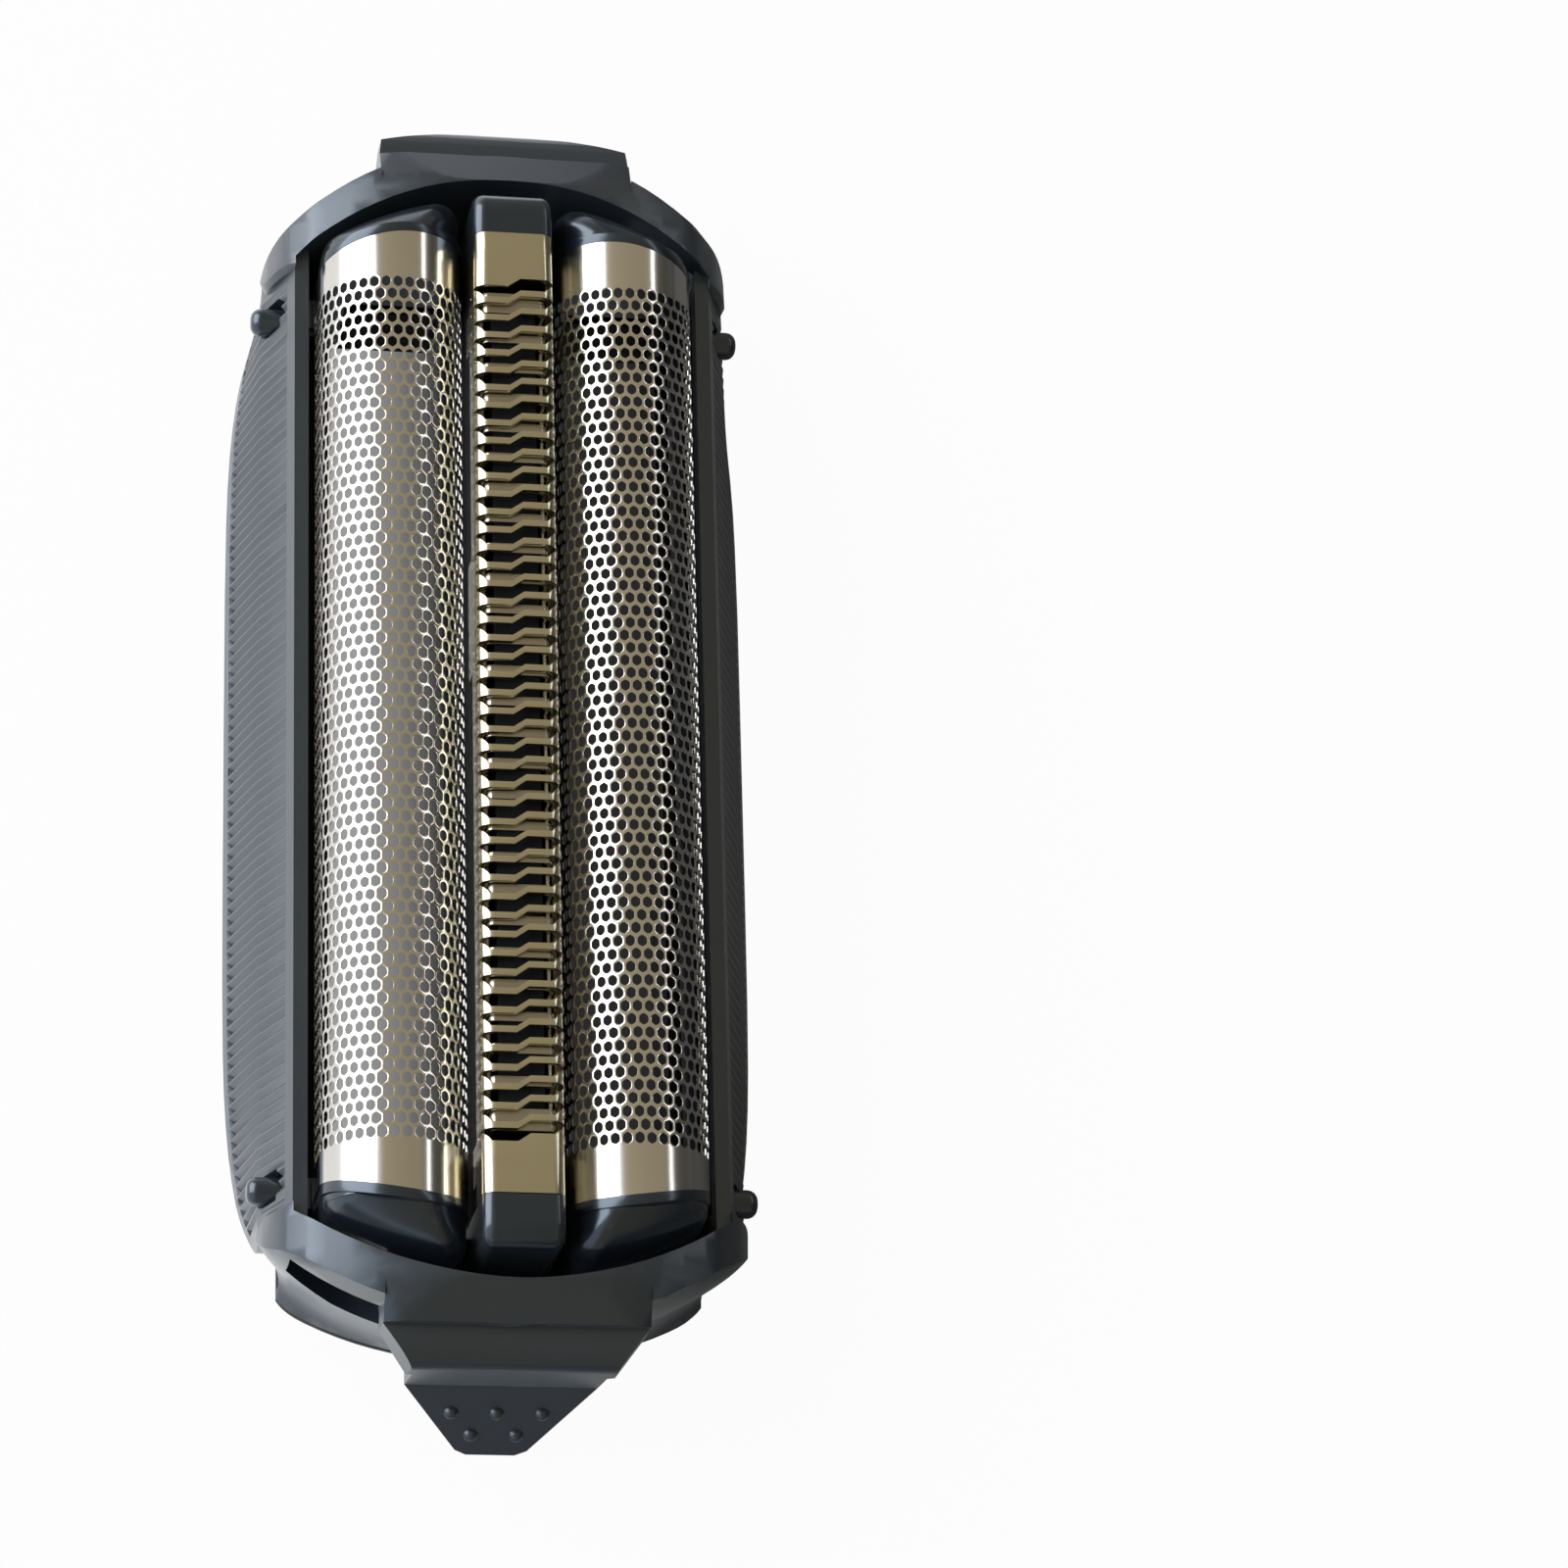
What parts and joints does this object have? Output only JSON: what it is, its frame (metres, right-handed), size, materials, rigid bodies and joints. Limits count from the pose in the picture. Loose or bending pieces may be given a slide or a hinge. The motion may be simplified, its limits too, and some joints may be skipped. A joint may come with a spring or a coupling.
{
  "type": "shaver foil head",
  "caption": "Replacement foil head for an electric shaver: two arched perforated foils and a slotted trimmer floating in a flared frame with a release tongue at each end.",
  "frame": {"origin": "middle of the underside", "axes": "+Y along the cutting lines, +Z out of the shaver through the foils, +X across"},
  "size_m": [0.0232, 0.0602, 0.0121],
  "materials": {
    "charcoal_plastic": "satin charcoal moulding",
    "black_plastic": "matt black moulding",
    "gloss_black_plastic": "half gloss black moulding",
    "foil_steel": "bright electroformed sheet",
    "trimmer_steel": "bright warm steel",
    "blade_steel": "ground steel",
    "spring_steel": "drawn wire"
  },
  "bodies": {
    "frame": {"outer_frame": "charcoal_plastic", "inner_base": "black_plastic", "far_trimmer_spring": "spring_steel", "near_trimmer_spring": "spring_steel"},
    "left_foil_unit": {"left_foil": "foil_steel", "left_far_end_block": "gloss_black_plastic", "left_near_end_block": "gloss_black_plastic", "left_outer_clamp_rail": "black_plastic", "left_inner_clamp_rail": "black_plastic"},
    "right_foil_unit": {"right_foil": "foil_steel", "right_far_end_block": "gloss_black_plastic", "right_near_end_block": "gloss_black_plastic", "right_outer_clamp_rail": "black_plastic", "right_inner_clamp_rail": "black_plastic"},
    "trimmer_unit": {"trimmer_comb": "trimmer_steel", "trimmer_base": "black_plastic", "far_trimmer_cap": "gloss_black_plastic", "near_trimmer_cap": "gloss_black_plastic"},
    "blade_unit": {"trimmer_blade": "blade_steel", "blade_carrier": "black_plastic"}
  },
  "joints": [
    {"name": "left_foil_float", "type": "slide", "parent": "frame", "child": "left_foil_unit", "axis": [0, 0, 1], "range_m": [0, 0.001]},
    {"name": "right_foil_float", "type": "slide", "parent": "frame", "child": "right_foil_unit", "axis": [0, 0, 1], "range_m": [0, 0.001]},
    {"name": "trimmer_float", "type": "slide", "parent": "frame", "child": "trimmer_unit", "axis": [0, 0, 1], "range_m": [-0.0008, 0], "stiffness_N_per_m": 300, "springref_m": 0.001, "deforming": ["far_trimmer_spring", "near_trimmer_spring"]},
    {"name": "trimmer_blade_slide", "type": "slide", "parent": "trimmer_unit", "child": "blade_unit", "axis": [0, 1, 0], "range_m": [-0.001, 0.001]}
  ]
}
